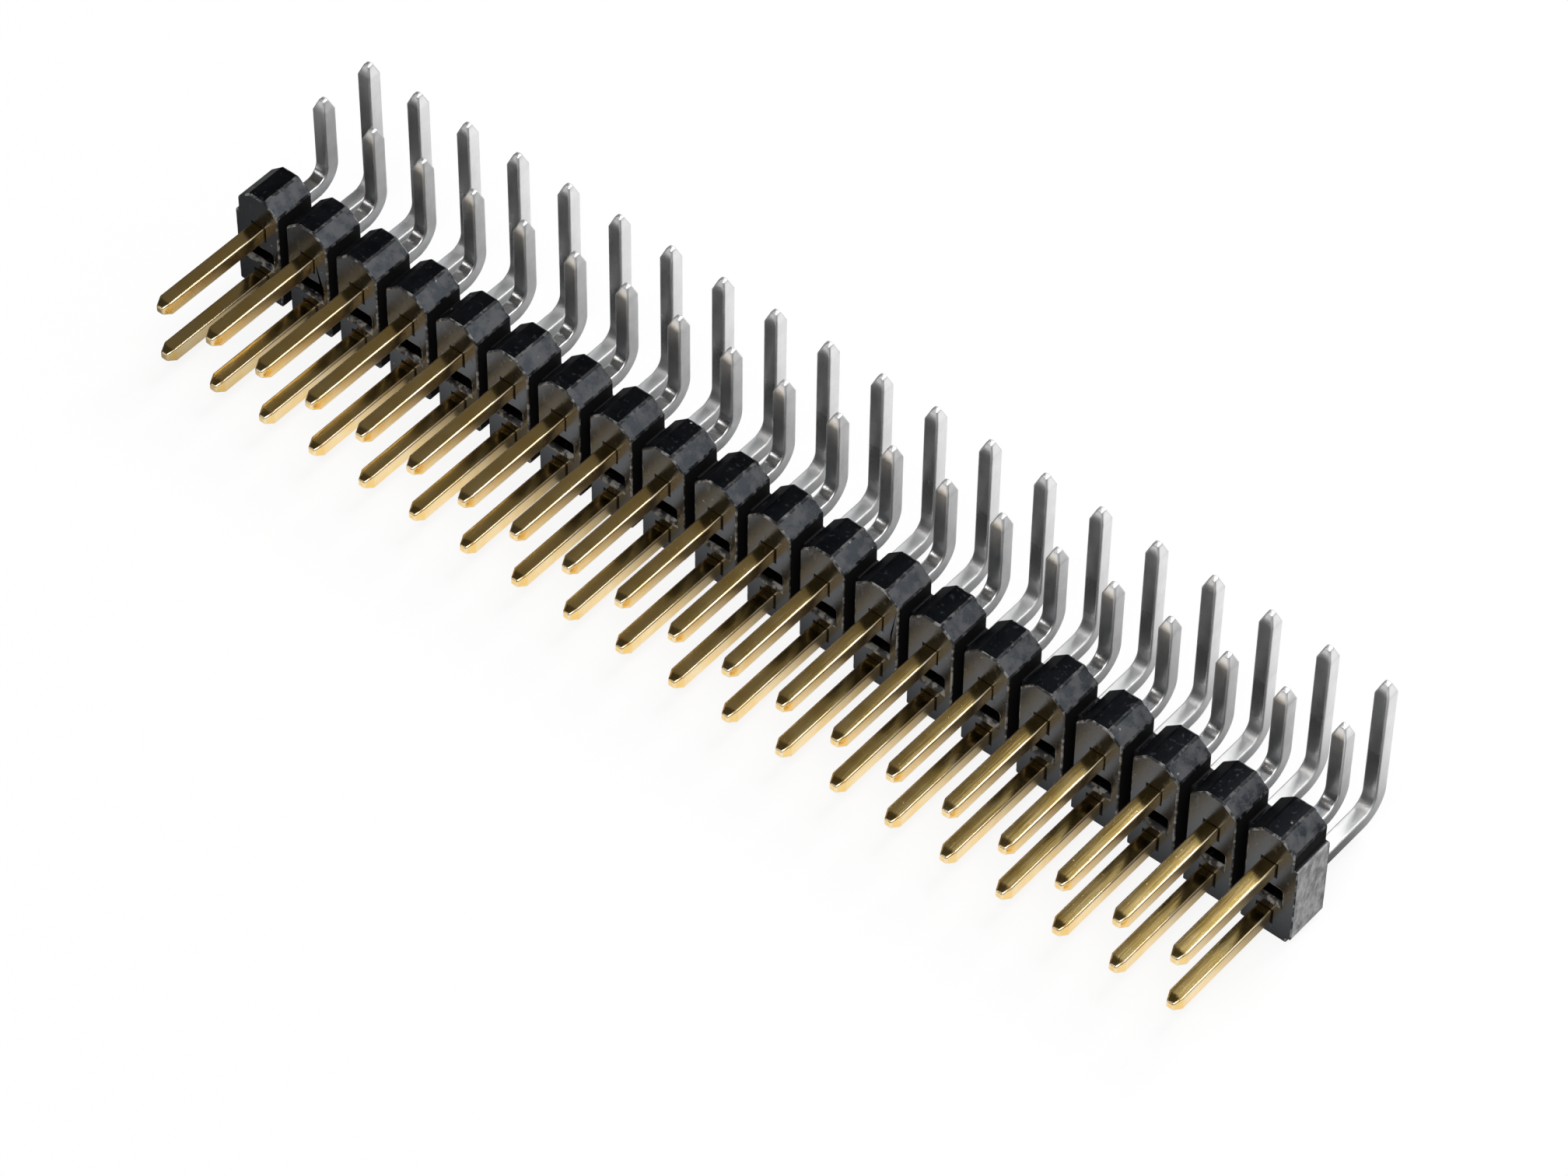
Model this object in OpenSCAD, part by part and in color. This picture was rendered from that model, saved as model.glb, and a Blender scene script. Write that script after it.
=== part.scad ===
// Right-angle pin header strip, two rows.
// X runs along the rows, the mating pins point to -Y and the solder tails point to +Z.
// The origin is the middle of the part's outline seen from above, level with the
// insulator's flat underside, on which the part rests.

/* [Rows] */
// How many pins each row has
pins_per_row = 20; // [2:1:29]
// Distance from pin to pin along a row (mm)
pitch = 2.54; // [2:0.01:3.2]
// Distance from the lower row up to the upper row (mm)
row_pitch = 2.54; // [2:0.01:3.2]
// Height of the lower row's centre line above the underside (mm)
lower_row_height = 0.96; // [0.8:0.01:1.3]

/* [Pins] */
// Side of the square wire that the pins are cut from (mm)
wire = 0.64; // [0.5:0.01:0.8]
// How far the mating ends stand out of the front face (mm)
mating_length = 5.5; // [4:0.1:9]
// How far the solder tails rise above the top of the insulator (mm)
tail_rise = 2.35; // [1.5:0.05:5]
// Distance from the back face to the centre of the near row of tails (mm)
near_tail_offset = 1.97; // [1.85:0.01:3]
// Distance from the near row of tails to the far row (mm)
tail_row_pitch = 2.54; // [2:0.01:3.2]
// Radius of the bend, measured to the middle of the wire (mm)
bend_radius = 0.9; // [0.8:0.05:1.6]
// Length of the four-sided point on each mating end (mm)
mating_point = 0.4; // [0.2:0.05:0.9]
// Side of the small flat at the tip of each mating end (mm)
mating_flat = 0.32; // [0.1:0.01:0.4]
// Length of the four-sided point on each solder tail (mm)
tail_point = 0.5; // [0.2:0.05:0.9]
// Side of the small flat at the tip of each solder tail (mm)
tail_flat = 0.26; // [0.1:0.01:0.4]
// Gap between a pin and the wall of its hole, none for a press fit (mm)
press_gap = 0; // [0:0.005:0.02]

/* [Insulator] */
// Height of the insulator, from the underside to the board seat (mm)
body_height = 5.3; // [4.3:0.05:6.5]
// Depth of the insulator from front face to back face (mm)
body_depth = 1.95; // [1.6:0.05:2.6]
// Width of the gap that parts one cell from the next (mm)
cell_gap = 0.5; // [0.3:0.02:0.6]
// Width of the flat on top of each cell (mm)
seat_width = 0.79; // [0.5:0.01:1.2]
// How far the sloping shoulders of each cell come down (mm)
shoulder_drop = 0.54; // [0.3:0.02:0.8]
// How far below the shoulders the break-off web starts (mm)
web_drop = 0.75; // [0.3:0.05:1.2]
// How far behind the front face the break-off webs between the cells start (mm)
web_setback = 0.8; // [0.2:0.05:1.2]
// How far above the underside the break-off web stops (mm)
web_lift = 0.25; // [0.1:0.05:0.5]
// How far the snapped web stands out at each end, where it is as deep as the cell (mm)
stub = 0.18; // [0.05:0.01:0.22]

/* [Pocket between the two pins of each cell] */
// Width of the pocket (mm)
pocket_width = 1.34; // [0.8:0.02:1.4]
// Depth of the pocket, measured from the front face (mm)
pocket_depth = 0.8; // [0.3:0.05:1.2]
// Height of the pocket's floor above the lower pin (mm)
pocket_floor_gap = 0.57; // [0.3:0.01:0.58]
// Height of the upper pin above the pocket's ceiling (mm)
pocket_ceiling_gap = 0.55; // [0.3:0.01:0.58]
// Radius of the pocket's two upper corners (mm)
pocket_corner = 0.14; // [0.1:0.02:0.4]
// Size of the bevel along the front edge of the pocket's floor (mm)
pocket_bevel = 0.12; // [0.05:0.01:0.2]

/* [Hidden] */
// Sides of a full circle, kept high so that bends and corners are true curves
facets = 48;
// How far a cutter reaches past the surface that it cuts
past = 1;

// Middle of the insulator's depth, so that the pins reach equally far each way from Y = 0
body_y = (mating_length - near_tail_offset - tail_row_pitch - wire / 2) / 2;
cell_width = pitch - cell_gap;
front = body_y - body_depth / 2;
back = body_y + body_depth / 2;
upper_row_height = lower_row_height + row_pitch;
tail_top = body_height + tail_rise;
near_tail_y = back + near_tail_offset;
far_tail_y = near_tail_y + tail_row_pitch;
shoulder_height = body_height - shoulder_drop;
web_height = shoulder_height - web_drop;
row_length = (pins_per_row - 1) * pitch + cell_width;
hole = wire + 2 * press_gap;
pocket_floor = lower_row_height + wire / 2 + pocket_floor_gap;
pocket_ceiling = upper_row_height - wire / 2 - pocket_ceiling_gap;
corner = min(pocket_corner, (pocket_ceiling - pocket_floor) / 2);

function row_x(i) = (i - (pins_per_row + 1) / 2) * pitch;
function label(row, i) = str(row, "_pin_", i < 10 ? "0" : "", i);

// A flat outline drawn in X and Z, given thickness from y0 to y1
module upright(y0, y1) {
    translate([0, y1, 0])
        rotate([90, 0, 0])
            linear_extrude(y1 - y0) children();
}

// The outline of one cell, flat underneath with two sloping shoulders on top
module cell_outline() {
    polygon([
        [-cell_width / 2, 0],
        [cell_width / 2, 0],
        [cell_width / 2, shoulder_height],
        [seat_width / 2, body_height],
        [-seat_width / 2, body_height],
        [-cell_width / 2, shoulder_height]
    ]);
}

// The hollow of one pocket, with round upper corners and a bevelled front edge below
module pocket() {
    side = pocket_width / 2 - corner;
    inner = front + pocket_depth;
    upright(front - past, inner)
        translate([-side, pocket_floor])
            square([2 * side, pocket_ceiling - pocket_floor]);
    upright(front - past, inner)
        translate([-pocket_width / 2, pocket_floor])
            square([pocket_width, pocket_ceiling - corner - pocket_floor]);
    for (x = [-side, side])
        upright(front - past, inner)
            translate([x, pocket_ceiling - corner]) circle(r = corner, $fn = facets);
    translate([-pocket_width / 2, 0, 0])
        rotate([90, 0, 90])
            linear_extrude(pocket_width)
                polygon([
                    [front - past, pocket_floor - pocket_bevel - past],
                    [front + pocket_bevel, pocket_floor],
                    [front + pocket_bevel, pocket_ceiling - corner],
                    [front - past, pocket_ceiling - corner]
                ]);
}

module insulator() {
    color([0.09, 0.09, 0.1])
        difference() {
            union() {
                for (i = [1 : pins_per_row])
                    translate([row_x(i), 0, 0])
                        upright(front, back) cell_outline();
                translate([-row_length / 2, front + web_setback, web_lift])
                    cube([row_length, body_depth - web_setback, web_height - web_lift]);
                for (end = [-row_length / 2, row_length / 2])
                    translate([end - stub, front, web_lift])
                        cube([2 * stub, body_depth, web_height - web_lift]);
            }
            for (i = [1 : pins_per_row])
                translate([row_x(i), 0, 0]) {
                    pocket();
                    for (z = [lower_row_height, upper_row_height])
                        translate([-hole / 2, front - past, z - hole / 2])
                            cube([hole, body_depth + 2 * past, hole]);
                }
        }
}

// The outline of a straight length of wire from 0 to its pointed end
module pointed_outline(length, point, flat) {
    polygon([
        [0, -wire / 2],
        [length - point, -wire / 2],
        [length, -flat / 2],
        [length, flat / 2],
        [length - point, wire / 2],
        [0, wire / 2]
    ]);
}

// A straight length of square wire along +X with a four-sided point at the far end
module pointed_wire(length, point, flat) {
    intersection() {
        translate([0, 0, -wire / 2])
            linear_extrude(wire) pointed_outline(length, point, flat);
        translate([0, wire / 2, 0])
            rotate([90, 0, 0])
                linear_extrude(wire) pointed_outline(length, point, flat);
    }
}

// One bent pin: gold-plated mating end, tin-plated back half with its bend and tail
module pin(x, z, tail_y) {
    bend_y = tail_y - bend_radius;
    color([0.83, 0.66, 0.33])
        translate([x, body_y, z])
            rotate([0, 0, -90])
                pointed_wire(mating_length + body_depth / 2, mating_point, mating_flat);
    color([0.78, 0.78, 0.78]) {
        translate([x - wire / 2, body_y, z - wire / 2])
            cube([wire, bend_y - body_y, wire]);
        translate([x, bend_y, z + bend_radius])
            rotate([0, 90, 0])
                rotate_extrude(angle = 90, $fn = facets)
                    translate([bend_radius - wire / 2, -wire / 2])
                        square([wire, wire]);
        translate([x, tail_y, z + bend_radius])
            rotate([0, -90, 0])
                pointed_wire(tail_top - z - bend_radius, tail_point, tail_flat);
    }
}

insulator();
for (i = [1 : pins_per_row]) {
    pin(row_x(i), upper_row_height, near_tail_y);
    pin(row_x(i), lower_row_height, far_tail_y);
}
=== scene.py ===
import math

import bpy
from mathutils import Matrix, Vector


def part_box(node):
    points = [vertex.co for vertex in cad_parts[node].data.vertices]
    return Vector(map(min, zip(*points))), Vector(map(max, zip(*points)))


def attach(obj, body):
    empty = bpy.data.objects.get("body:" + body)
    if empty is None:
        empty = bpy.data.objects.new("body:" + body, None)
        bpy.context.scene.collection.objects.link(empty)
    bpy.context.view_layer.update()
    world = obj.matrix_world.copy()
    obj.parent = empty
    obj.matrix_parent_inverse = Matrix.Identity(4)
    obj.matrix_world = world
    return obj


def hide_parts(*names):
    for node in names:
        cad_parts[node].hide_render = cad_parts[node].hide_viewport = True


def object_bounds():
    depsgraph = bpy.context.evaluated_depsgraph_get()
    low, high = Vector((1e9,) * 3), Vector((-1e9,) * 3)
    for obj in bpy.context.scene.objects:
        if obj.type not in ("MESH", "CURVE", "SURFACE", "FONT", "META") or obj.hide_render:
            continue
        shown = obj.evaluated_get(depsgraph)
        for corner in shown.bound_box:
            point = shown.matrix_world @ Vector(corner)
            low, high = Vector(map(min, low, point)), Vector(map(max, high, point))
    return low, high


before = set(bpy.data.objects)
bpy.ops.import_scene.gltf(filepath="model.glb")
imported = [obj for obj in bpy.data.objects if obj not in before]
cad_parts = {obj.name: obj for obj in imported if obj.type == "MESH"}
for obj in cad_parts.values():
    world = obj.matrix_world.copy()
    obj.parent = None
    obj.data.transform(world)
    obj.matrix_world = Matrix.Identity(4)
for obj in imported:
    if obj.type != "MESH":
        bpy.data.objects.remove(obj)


# --- Insulator -------------------------------------------------------------------------
# One strip of black glass-filled plastic, moulded as twenty cells that snap apart at thin
# webs. Its outer faces are smooth from the mould. Each kind of face takes its own copy of the
# plastic, lighter or darker by the way it faces the lamps, so light and shade are partly
# painted. The walls of its grooves, its hole rims and its end walls are painted a dull black
# for the shade in them, and its outer corners carry painted pale glints in places. Each end
# is the torn face of a snapped web.

MM = 0.001
cad_low, cad_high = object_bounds()
body_low, body_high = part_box("insulator")
moulded_edge = 0.07 * MM
web_stub = 0.18 * MM


def only(piece):
    """Makes this piece the one that the next operators work on."""
    bpy.ops.object.select_all(action="DESELECT")
    piece.select_set(True)
    bpy.context.view_layer.objects.active = piece


def rounded(node, name, edge, finishes):
    """A visible copy of a CAD piece whose sharp corners are rounded to the radius edge. The
    first of the finishes goes on its faces and the second on its rounded corners."""
    same_point = 0.002
    same_plane = math.radians(2)
    sharp_corner = math.radians(30)
    shaded_round = math.radians(50)

    piece = bpy.data.objects.new(name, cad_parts[node].data.copy())
    bpy.context.collection.objects.link(piece)
    piece.data.materials.clear()
    for material in finishes:
        piece.data.materials.append(material)
    only(piece)
    # The operators' smallest steps are too coarse for a part this size in metres, so the
    # copy is worked in millimetres and brought back down at the end.
    piece.data.transform(Matrix.Scale(1 / MM, 4))
    bpy.ops.object.mode_set(mode="EDIT")
    bpy.ops.mesh.select_all(action="SELECT")
    bpy.ops.mesh.remove_doubles(threshold=same_point)
    bpy.ops.mesh.dissolve_limited(angle_limit=same_plane)
    bpy.ops.object.mode_set(mode="OBJECT")

    bevel = piece.modifiers.new("rounded corners", "BEVEL")
    bevel.width = edge / MM
    bevel.segments = 2
    bevel.limit_method = "ANGLE"
    bevel.angle_limit = sharp_corner
    bevel.material = 1
    # Clamped, every radius would be held down to the short steps of the pockets' round corners.
    bevel.use_clamp_overlap = False
    bpy.ops.object.modifier_apply(modifier=bevel.name)
    bpy.ops.object.shade_smooth_by_angle(angle=shaded_round)
    weighted = piece.modifiers.new("flat faces stay flat", "WEIGHTED_NORMAL")
    weighted.keep_sharp = True
    bpy.ops.object.modifier_apply(modifier=weighted.name)
    piece.data.transform(Matrix.Scale(MM, 4))
    return piece


class Shade:
    """A socket of a material's nodes. Arithmetic on it adds Math nodes."""

    def __init__(self, tree, socket=None):
        self.tree = tree
        self.socket = socket

    def node(self, kind, settings, sockets, output=0):
        """Adds any node: its settings are set first, then the values or links of its sockets."""
        made = self.tree.nodes.new(kind)
        for name, value in settings.items():
            setattr(made, name, value)
        for name, value in sockets.items():
            if isinstance(value, Shade):
                self.tree.links.new(value.socket, made.inputs[name])
            else:
                made.inputs[name].default_value = value
        return Shade(self.tree, made.outputs[output] if made.outputs else None)

    def maths(self, operation, *values):
        return self.node("ShaderNodeMath", {"operation": operation}, dict(enumerate(values)))

    def __add__(self, other):
        return self.maths("ADD", self, other)

    def __sub__(self, other):
        return self.maths("SUBTRACT", self, other)

    def __rsub__(self, other):
        return self.maths("SUBTRACT", other, self)

    def __mul__(self, other):
        return self.maths("MULTIPLY", self, other)

    __radd__ = __add__
    __rmul__ = __mul__

    def size(self):
        """This value without its sign."""
        return self.maths("ABSOLUTE", self)

    def or_more(self, other):
        """The larger of this value and another."""
        return self.maths("MAXIMUM", self, other)

    def over(self, level, soft):
        """1 where this value is above the level, 0 below it, with a soft step between."""
        sockets = {"Value": self, "From Min": level - soft, "From Max": level + soft}
        return self.node("ShaderNodeMapRange", {"interpolation_type": "SMOOTHSTEP"}, sockets)

    def noise(self, scale, detail=3, stretch=(1, 1, 1), rough=0.55):
        """A noise of this many waves a millimetre over a place in millimetres. It runs long
        along an axis whose stretch is small."""
        place = self.node("ShaderNodeMapping", {}, {"Vector": self, "Scale": stretch})
        sockets = {"Vector": place, "Scale": scale, "Detail": detail, "Roughness": rough}
        return self.node("ShaderNodeTexNoise", {}, sockets)

    def blend(self, first, second):
        """This value mixes the first colour into the second."""
        first = first if isinstance(first, Shade) else (*first, 1)
        second = second if isinstance(second, Shade) else (*second, 1)
        return self.node("ShaderNodeMix", {"data_type": "RGBA"}, {0: self, 6: first, 7: second}, 2)

    def axis(self, name):
        return self.node("ShaderNodeSeparateXYZ", {}, {"Vector": self}, "XYZ".index(name))


def new_material(name):
    """An empty material, with the place on the piece in millimetres to build its finish on."""
    material = bpy.data.materials.new(name)
    material.use_nodes = True
    material.node_tree.nodes.clear()
    start = Shade(material.node_tree)
    place = start.node("ShaderNodeTexCoord", {}, {}, "Object")
    millimetres = start.node("ShaderNodeMapping", {}, {"Vector": place, "Scale": (1 / MM,) * 3})
    return material, millimetres


def finish(place, colour, roughness, metallic, height, depth, specular=0.5, sheen=(1, 1, 1)):
    """Ends a material: its colour, roughness and relief go to the surface's own sockets."""
    normal = place.node("ShaderNodeBump", {}, {"Height": height, "Distance": depth})
    sockets = {
        "Base Color": colour,
        "Roughness": roughness,
        "Metallic": metallic,
        "Specular IOR Level": specular,
        "Specular Tint": (*sheen, 1),
        "Normal": normal,
    }
    surface = place.node("ShaderNodeBsdfPrincipled", {}, sockets)
    place.node("ShaderNodeOutputMaterial", {}, {"Surface": surface})


def black_plastic(name, painted_glint, painted_sheen, base_roughness, gloss=0.5):
    """Smooth moulded black plastic with two amounts from 0 to 1: a painted highlight of pale
    patches that stand for glints, and a painted sheen of faint cloudy grey that stands for
    reflected light."""
    deep_black, faint_black = (0.0006, 0.0008, 0.0015), (0.002, 0.0025, 0.0035)
    scuff_grey, painted_sheen_grey = (0.03, 0.03, 0.035), (0.085, 0.083, 0.086)
    dust_grey, glint_grey = (0.32, 0.32, 0.31), (0.4, 0.4, 0.39)
    # A cold tint on every reflection of the plastic, a painted stand-in for bluish light.
    painted_cold_tint = (0.86, 0.92, 1.0)

    material, place = new_material(name)
    grain = place.noise(16, detail=4)
    cloud = place.noise(0.9)
    scuffs = place.noise(5, detail=5, stretch=(1, 1, 0.35)).over(0.64, 0.06)
    cells = place.node("ShaderNodeTexVoronoi", {}, {"Vector": place, "Scale": 1.6}, "Distance")
    dust = (1 - cells.over(0.07, 0.03)) * place.noise(0.7).over(0.56, 0.02)
    cloudy = place.noise(1.7, detail=4, rough=0.6).over(0.5, 0.14)
    # Painted highlight: pale patches in the colour that stand for glints on the outer corners.
    glint_patches = place.noise(3.5, detail=4).over(0.54, 0.08) * painted_glint

    colour = cloud.over(0.5, 0.3).blend(deep_black, faint_black)
    colour = (scuffs * 0.4).blend(colour, scuff_grey)
    # Painted sheen: a faint cloudy grey in the colour, standing for reflected light.
    colour = (cloudy * painted_sheen * 0.9 + painted_sheen * 0.1).blend(colour, painted_sheen_grey)
    colour = (dust * 0.8).blend(colour, dust_grey)
    colour = glint_patches.blend(colour, glint_grey)
    roughness = base_roughness + cloud * 0.06 + grain * 0.05 + scuffs * 0.1 + dust * 0.3
    roughness = roughness + cloudy * painted_sheen * 0.5
    height = grain + scuffs * 0.4
    finish(place, colour, roughness, 0, height, 0.004 * MM, gloss, painted_cold_tint)
    return material


def groove_shade_and_torn_plastic():
    """A dull black painted on groove walls, hole rims and end walls as the shade that falls in
    them, and the grey torn plastic of the snapped ends.
    """
    # Painted shade: the near-black of the groove walls stands for the shade in them.
    painted_groove_shade = (0.004, 0.004, 0.005)
    torn_dark, torn_pale = (0.14, 0.14, 0.14), (0.46, 0.46, 0.455)

    material, place = new_material("groove shade and torn plastic")
    grain = place.noise(14, detail=4)
    torn = place.noise(2.6, detail=6, stretch=(1, 1, 0.6), rough=0.7)
    snapped = place.axis("X").size().over((body_high.x - web_stub / 2) / MM, 0.02)
    colour = snapped.blend(painted_groove_shade, torn.over(0.5, 0.2).blend(torn_dark, torn_pale))
    height = grain * (1 - snapped) + torn * snapped * 5
    finish(place, colour, 0.6 + grain * 0.2, 0, height, 0.006 * MM, specular=0.2)
    return material


# One black plastic in several copies that differ in painted sheen and gloss by the way their faces
# turn to the lamps: fronts and right shoulders are lit copies; tops, left shoulders and ridges are
# shaded copies.
finishes = [
    black_plastic("black plastic tops", painted_glint=0, painted_sheen=0.02, base_roughness=0.09, gloss=0.2),
    black_plastic("black plastic corners", painted_glint=0.6, painted_sheen=0.3, base_roughness=0.25),
    groove_shade_and_torn_plastic(),
    black_plastic("black plastic fronts", painted_glint=0, painted_sheen=0.05, base_roughness=0.17, gloss=0.95),
    black_plastic("black plastic right shoulders", painted_glint=0, painted_sheen=0.8, base_roughness=0.1),
    black_plastic(
        "black plastic left shoulders", painted_glint=0, painted_sheen=0.05, base_roughness=0.3, gloss=0.02),
    black_plastic("black plastic ridges", painted_glint=0.2, painted_sheen=0.3, base_roughness=0.3, gloss=0.1),
]
TOPS, CORNERS, GROOVES, FRONTS, RIGHT_SHOULDERS, LEFT_SHOULDERS, RIDGES = range(len(finishes))

pin_nodes = [node for node in sorted(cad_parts) if "_pin_" in node]
holes = []
for node in pin_nodes:
    pin_low, pin_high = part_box(node)
    half_wire = (pin_high.x - pin_low.x) / 2
    holes.append((pin_low.x + half_wire, pin_low.z + half_wire))


def beside_hole(place):
    """Whether a place on the moulding is on the rim of a pin's hole."""
    reach = half_wire + 1.5 * moulded_edge
    return any(max(abs(place.x - x), abs(place.z - z)) < reach for x, z in holes)


def finish_of(face):
    """The finish of a face of the moulding, by where it lies and which way it faces. Faces turned
    towards the lamps take lit copies of the plastic and faces turned away take shaded copies.
    Only the outer corners get painted pale glints; a rounded corner inside a groove or a hole
    gets the dull black, a painted shade."""
    square_on, sloping, along_depth = 0.99, 0.5, 0.3
    skin, corner_reach, shoulder_reach = 0.1 * MM, 0.25 * MM, 1.0 * MM

    place, faces = face.center, face.normal
    inside = min(place.y - body_low.y, body_high.y - place.y)
    if face.material_index == CORNERS:
        if abs(faces.y) < along_depth and place.z > body_high.z - shoulder_reach:
            return LEFT_SHOULDERS if faces.x < 0 else RIDGES
        return GROOVES if inside > corner_reach or beside_hole(place) else CORNERS
    # Side walls, end walls and faces deep in slots and pockets take the dull black, a painted
    # shade.
    if abs(faces.x) > square_on or (inside > skin and abs(faces.y) > square_on):
        return GROOVES
    if abs(faces.y) > square_on:
        return FRONTS
    # Right-facing shoulders and the outermost left one take the lit copy, other left-facing ones
    # the shaded copy.
    if faces.x > sloping:
        return RIGHT_SHOULDERS
    if faces.x < -sloping:
        outermost = place.x < body_low.x + 1.0 * MM
        return RIGHT_SHOULDERS if outermost else LEFT_SHOULDERS
    return CORNERS if faces.y < -sloping else TOPS


insulator = rounded("insulator", "insulator_moulding", moulded_edge, finishes)
for face in insulator.data.polygons:
    face.material_index = finish_of(face)
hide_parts("insulator")
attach(insulator, "root")


# --- Pins ------------------------------------------------------------------------------
# Forty pins of drawn square copper-alloy wire, coined to a four-sided point at each end and
# bent once. The mating half has a thin gold flash and the solder half is tinned. They are
# pressed through the moulding, and the plating changes where it hides them.

wire_edge = 0.075 * MM
plating_change = (body_low.y + body_high.y) / 2


def plated_wire(name, painted_pale):
    """Gold on the mating half of the wire and tin on the other, with fine drawing lines along
    both. The amount given, 0 to 1, is how far the gold is painted pale as a painted highlight."""
    deep_gold, light_gold, painted_pale_gold = (0.90, 0.60, 0.19), (0.94, 0.67, 0.27), (0.97, 0.88, 0.7)
    grey_tin, light_tin = (0.82, 0.82, 0.82), (0.91, 0.91, 0.91)
    gold_speck, tin_speck = (0.35, 0.22, 0.08), (0.48, 0.48, 0.49)

    material, place = new_material(name)
    tin = place.axis("Y").over(plating_change / MM, 0.02)
    along_mating = place.noise(9, stretch=(1, 0.06, 1))
    along_tail = place.noise(9, stretch=(1, 1, 0.06))
    cloud = place.noise(1.1, detail=2)
    specks = place.noise(11, detail=2).over(0.7, 0.04)
    height_up = place.axis("Z")
    low_run = (1 - height_up.over(2, 0.5)) * tin
    high_run = height_up.over(2, 0.5) * (1 - height_up.over(4.15, 0.4)) * tin

    gold = cloud.over(0.5, 0.25).blend(deep_gold, light_gold)
    gold = (specks * 0.35).blend(gold, gold_speck)
    gold = (cloud * painted_pale).blend(gold, painted_pale_gold)
    solder = cloud.over(0.5, 0.25).blend(grey_tin, light_tin)
    solder = (specks * 0.4).blend(solder, tin_speck)
    colour = tin.blend(gold, solder)
    roughness = 0.12 + cloud * 0.08 + tin * 0.18 + painted_pale * 0.15
    roughness = roughness + low_run * 0.1 - high_run * 0.12
    height = along_mating * (1 - tin) + along_tail * tin + specks * 0.3
    finish(place, colour, roughness, 1, height, 0.004 * MM)
    return material


# The edges copy is painted pale, a painted highlight on the wire's rounded edges.
plates = [
    plated_wire("gold and tin plate", painted_pale=0),
    plated_wire("gold and tin plate edges painted pale", painted_pale=1),
    plated_wire("gold and tin plate sides painted pale", painted_pale=0.5),
]
PAINTED_PALE_SIDES = 2
for node in pin_nodes:
    pin = rounded(node, node + "_plated", wire_edge, plates)
    # The wire's flat sides that face along X take half-pale gold, a painted reflection of the
    # bright table.
    for face in pin.data.polygons:
        if abs(face.normal.x) > 0.99:
            face.material_index = PAINTED_PALE_SIDES
    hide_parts(node)
    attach(pin, "root")


# --- Table, lights and camera ----------------------------------------------------------
# The strip stands on the flat undersides of its cells, on a white table under soft
# lamps. The table carries a painted shade in reflections close to the strip and to its left.
# The table and the room are staging and no part of the strip.

def white_table():
    """A white surface that keeps a faint shadow. It shows white to the camera. To metal and
    plastic it shows a painted shade, darker close to the strip and towards its left."""
    white, paper_white, shaded = (1, 1, 1), (0.85, 0.85, 0.85), (0.04, 0.04, 0.04)
    seen_white = 0.88

    material, place = new_material("white table")
    camera_ray = place.node("ShaderNodeLightPath", {}, {}, "Is Camera Ray")
    mirror_ray = place.node("ShaderNodeLightPath", {}, {}, "Is Glossy Ray")
    ahead = 0 - place.axis("Y")
    in_front = ahead.over(1.7, 2.7)
    far_ahead = ahead.over(14, 5)
    behind = place.axis("Y").over(7, 4)
    lit_side = place.axis("X").over(-22, 6)
    # Painted shade: how bright reflections see the table, lower close to the strip and to its
    # left.
    painted_unshaded = (in_front + behind) * (0.18 + lit_side * 0.82)
    mirrored = painted_unshaded.or_more(far_ahead * 0.8).blend(shaded, white)
    glow_colour = mirror_ray.blend(white, mirrored)
    glow_share = mirror_ray.or_more(camera_ray * seen_white)
    paper = place.node("ShaderNodeBsdfDiffuse", {}, {"Color": (*paper_white, 1)})
    glow = place.node("ShaderNodeEmission", {}, {"Color": glow_colour, "Strength": 1.0})
    shown = place.node("ShaderNodeMixShader", {}, {0: glow_share, 1: paper, 2: glow})
    place.node("ShaderNodeOutputMaterial", {}, {"Surface": shown})
    return material


table_size = 3
just_below = -0.01 * MM
bpy.ops.object.select_all(action="DESELECT")
bpy.ops.mesh.primitive_plane_add(size=table_size, location=(0, 0, just_below))
table = bpy.context.object
table.name = "table"
table.data.materials.append(white_table())

centre = Vector((0, 0, cad_high.z / 2))


def direction(azimuth, elevation):
    """The unit vector towards this azimuth and elevation in degrees. Azimuth 0 is the side
    that the mating pins point to, and 90 is the strip's +X end."""
    turn, rise = math.radians(azimuth), math.radians(elevation)
    level = math.cos(rise)
    return Vector((math.sin(turn) * level, -math.cos(turn) * level, math.sin(rise)))


def softbox(name, azimuth, elevation, distance, width, height, radiance, colour):
    """A soft rectangular lamp aimed at the strip, as bright as radiance all over its face."""
    lamp = bpy.data.lights.new(name, "AREA")
    lamp.shape = "RECTANGLE"
    lamp.size, lamp.size_y = width, height
    lamp.energy = radiance * math.pi * width * height
    lamp.color = colour
    stand = bpy.data.objects.new(name, lamp)
    bpy.context.collection.objects.link(stand)
    towards = direction(azimuth, elevation)
    stand.location = centre + towards * distance
    stand.rotation_euler = towards.to_track_quat("Z", "Y").to_euler()


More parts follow.
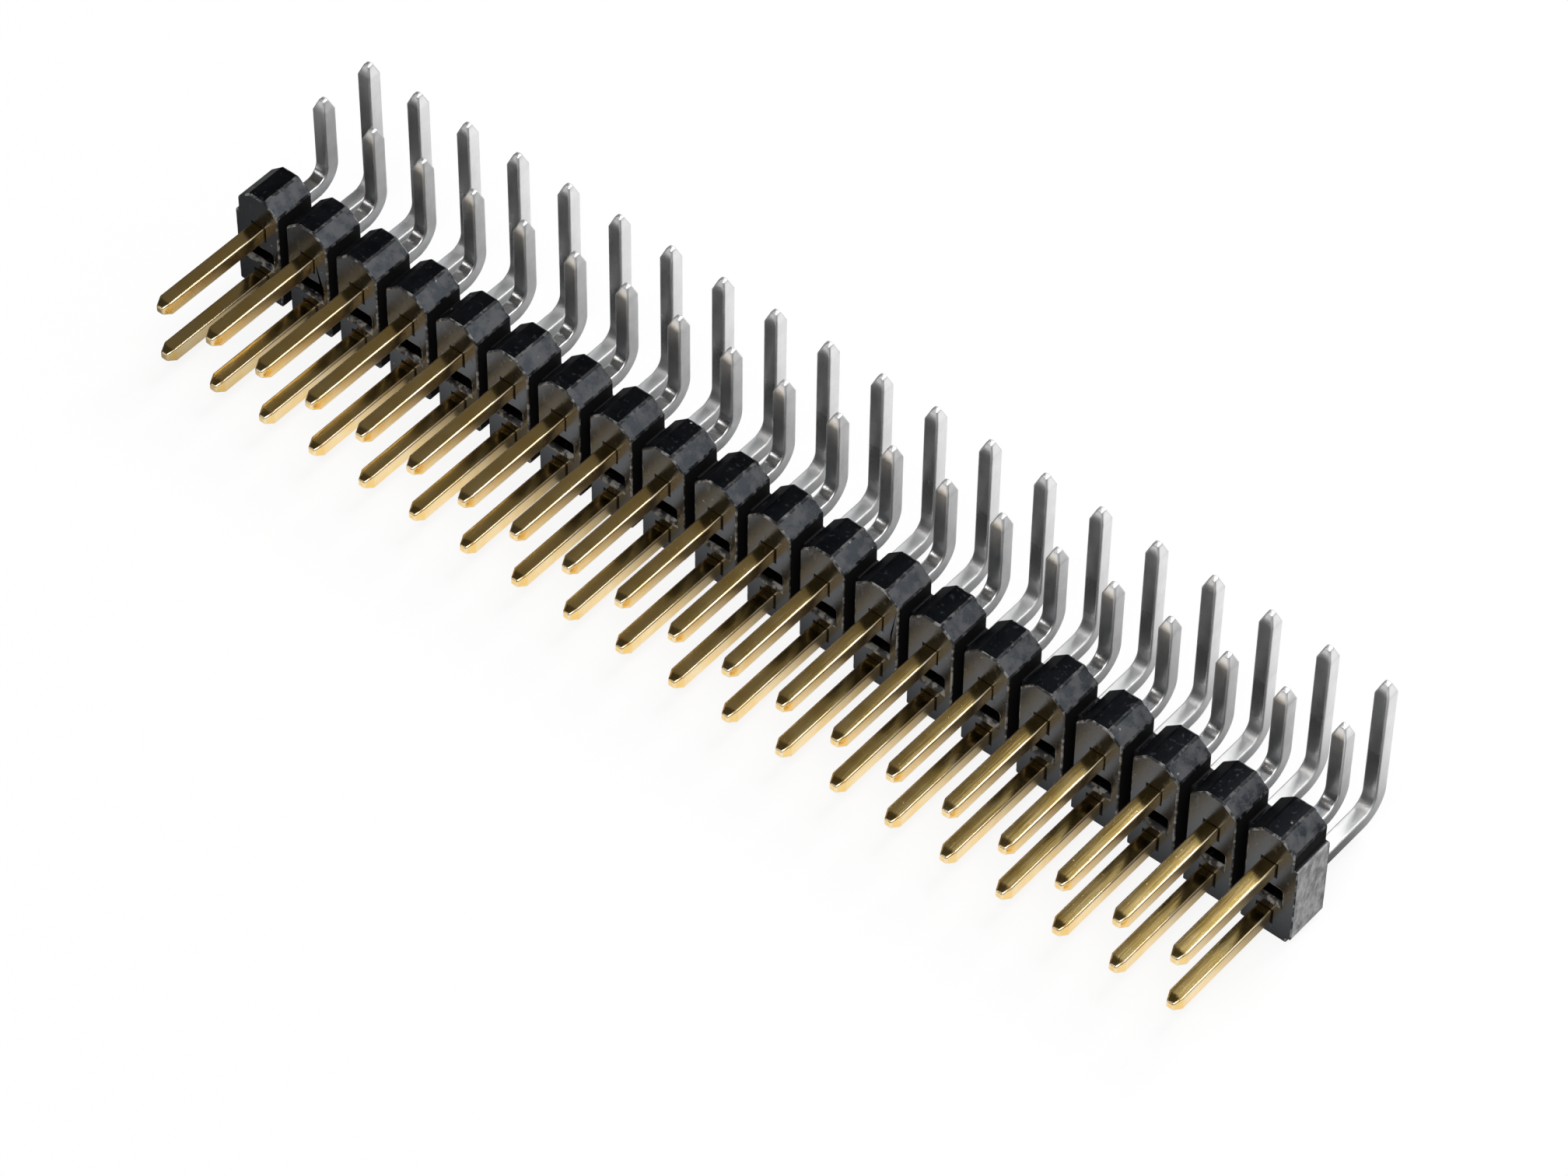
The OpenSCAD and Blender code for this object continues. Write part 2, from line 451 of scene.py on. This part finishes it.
softbox("window", azimuth=127, elevation=43, distance=0.6, width=0.46, height=0.36,
        radiance=1.8, colour=(0.86, 0.93, 1.0))
softbox("overhead", azimuth=30, elevation=62, distance=0.7, width=0.50, height=0.40,
        radiance=4.8, colour=(1.0, 0.98, 0.96))
softbox("front lamp", azimuth=-29, elevation=26, distance=0.6, width=0.24, height=0.12,
        radiance=2.6, colour=(1.0, 0.98, 0.96))
softbox("wall", azimuth=-143, elevation=47, distance=0.7, width=0.40, height=0.26,
        radiance=0.07, colour=(1.0, 0.99, 0.97))
softbox("side wall", azimuth=-165, elevation=60, distance=0.7, width=0.26, height=0.26,
        radiance=0.5, colour=(0.8, 0.9, 1.0))
softbox("back light", azimuth=178, elevation=46, distance=0.6, width=0.26, height=0.20,
        radiance=16.0, colour=(1.0, 0.99, 0.97))

room_colour, room_strength = (1.0, 0.98, 0.95), 0.035
world = bpy.data.worlds.new("room")
world.use_nodes = True
world.node_tree.nodes.clear()
room = Shade(world.node_tree)
camera_ray = room.node("ShaderNodeLightPath", {}, {}, "Is Camera Ray")
dim_sockets = {"Color": (*room_colour, 1), "Strength": room_strength}
dim = room.node("ShaderNodeBackground", {}, dim_sockets)
white = room.node("ShaderNodeBackground", {}, {"Color": (1, 1, 1, 1), "Strength": 1.0})
shown = room.node("ShaderNodeMixShader", {}, {0: camera_ray, 1: dim, 2: white})
room.node("ShaderNodeOutputWorld", {}, {"Surface": shown})
bpy.context.scene.world = world

lens = bpy.data.cameras.new("camera")
lens.sensor_width = 36
lens.lens = 144.1
lens.clip_start = 0.01
camera = bpy.data.objects.new("camera", lens)
bpy.context.collection.objects.link(camera)
aim = Vector((1.24, 0.335, 0.64)) * MM
camera_distance = 232 * MM
camera_roll = math.radians(0.766)
towards_camera = direction(azimuth=39.25, elevation=48.54)
camera.location = aim + towards_camera * camera_distance
upright = towards_camera.to_track_quat("Z", "Y").to_matrix()
camera.rotation_euler = (upright @ Matrix.Rotation(camera_roll, 3, "Z")).to_euler()
bpy.context.scene.camera = camera
bpy.context.scene.view_settings.view_transform = "Standard"
